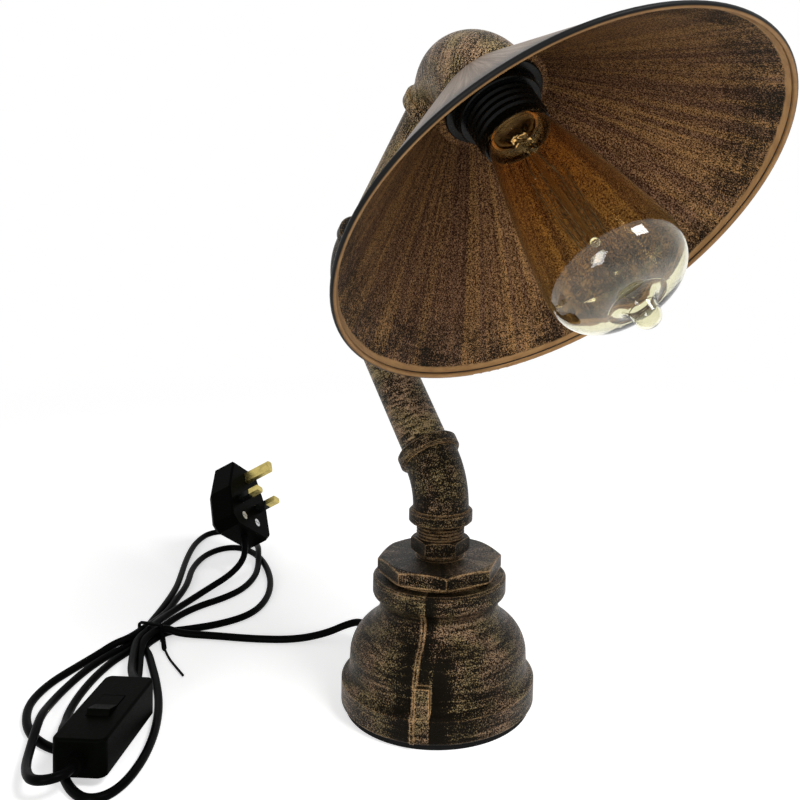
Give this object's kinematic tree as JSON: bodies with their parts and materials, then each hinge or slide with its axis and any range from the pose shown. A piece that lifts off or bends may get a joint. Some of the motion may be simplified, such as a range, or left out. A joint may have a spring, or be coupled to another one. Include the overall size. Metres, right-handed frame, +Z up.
{
  "type": "table lamp",
  "caption": "Table lamp of threaded pipe fittings with a turning arm, a wide conical shade, a long bulb, and a tied cord with a rocker switch and a plug.",
  "frame": {"origin": "on the floor, at the centre of the round base", "axes": "+Z up; the arm lies in the YZ plane and the shade reaches out towards -Y; the cord leaves the base towards +Y"},
  "size_m": [0.3267, 0.5091, 0.3659],
  "materials": {
    "rubber_black": "matt black rubber sheet",
    "aged_iron": "blackened casting with rubbed bronze highlights",
    "aged_pipe": "brushed pipe with an aged bronze lacquer",
    "shade_metal": "brushed sheet metal, bronze and copper coloured",
    "holder_black": "moulded black plastic, glossy",
    "carrier_white": "glazed insulating body",
    "contact_brass": "plain brass",
    "screw_steel": "plated steel",
    "bulb_amber": "clear amber tinted glass",
    "bulb_clear": "clear glass",
    "cap_metal": "thin brass cap",
    "insulator_black": "black vitreous insulator",
    "filament_wire": "fine wire",
    "cord_black": "black flexible cord sheath",
    "lead_sheath": "cord sheath inside the pipes",
    "tie_black": "plastic coated wire",
    "switch_black": "moulded black plastic, satin",
    "plug_black": "moulded black plastic, satin",
    "sleeve_black": "pin insulation",
    "fuse_body": "ceramic coloured tube"
  },
  "bodies": {
    "base": {"base_pad": "rubber_black", "base_reducer": "aged_iron", "octagon_bush": "aged_iron", "hex_nipple": "aged_iron", "cord_gland": "cord_black", "gland_nut": "switch_black", "base_lead": "lead_sheath", "cord_lead": "cord_black", "cord_plug_lead": "cord_black", "cord_hank": "cord_black", "twist_tie": "tie_black", "switch_base": "switch_black", "switch_cover": "switch_black", "switch_terminals": "contact_brass", "switch_contact": "contact_brass", "switch_screws": "screw_steel", "plug_base": "plug_black", "plug_cover": "plug_black", "plug_earth_pin": "contact_brass", "plug_line_pin": "contact_brass", "plug_neutral_pin": "contact_brass", "plug_pin_sleeves": "sleeve_black", "plug_grip_screws": "screw_steel", "plug_cover_screw": "screw_steel", "plug_cord_grip": "switch_black", "plug_fuse": "fuse_body", "plug_fuse_clips": "contact_brass"},
    "arm": {"lower_elbow": "aged_iron", "lower_pipe": "aged_pipe", "arm_lead": "lead_sheath"},
    "forearm": {"middle_elbow": "aged_iron", "upper_pipe": "aged_pipe", "forearm_lead": "lead_sheath"},
    "head": {"top_elbow": "aged_iron", "holder_plug": "holder_black", "holder_tube": "contact_brass", "tube_locknut": "screw_steel", "head_lead": "lead_sheath", "shade": "shade_metal", "holder_cap": "holder_black", "holder_skirt": "holder_black", "shade_ring": "holder_black", "contact_carrier": "carrier_white", "screw_shell": "contact_brass", "centre_contact": "contact_brass", "terminal_screws": "screw_steel"},
    "bulb": {"bulb_glass": "bulb_amber", "bulb_cap": "cap_metal", "bulb_insulator": "insulator_black", "bulb_contact": "cap_metal", "bulb_stem": "bulb_clear", "bulb_leads": "filament_wire", "bulb_filament": "filament_wire"},
    "rocker": {"switch_rocker": "switch_black"}
  },
  "joints": [
    {"name": "arm_swivel", "type": "hinge", "parent": "base", "child": "arm", "pos_m": [0, 0, 0.1009], "axis": [0, 0, 1], "range_deg": [-90, 90]},
    {"name": "elbow_swivel", "type": "hinge", "parent": "arm", "child": "forearm", "pos_m": [0, 0.10995, 0.23286], "axis": [0, 0.7071, 0.7071], "range_deg": [-60, 60]},
    {"name": "head_swivel", "type": "hinge", "parent": "forearm", "child": "head", "pos_m": [0, -0.0116, 0.35441], "axis": [0, -0.7071, 0.7071], "range_deg": [-90, 90]},
    {"name": "bulb_unscrew", "type": "slide", "parent": "head", "child": "bulb", "axis": [0.0366, -0.7066, -0.7066], "range_m": [0, 0.03]},
    {"name": "switch_rock", "type": "hinge", "parent": "base", "child": "rocker", "pos_m": [-0.165, 0.049, 0.02], "axis": [0.7837, -0.6211, 0], "range_deg": [0, 16]}
  ]
}
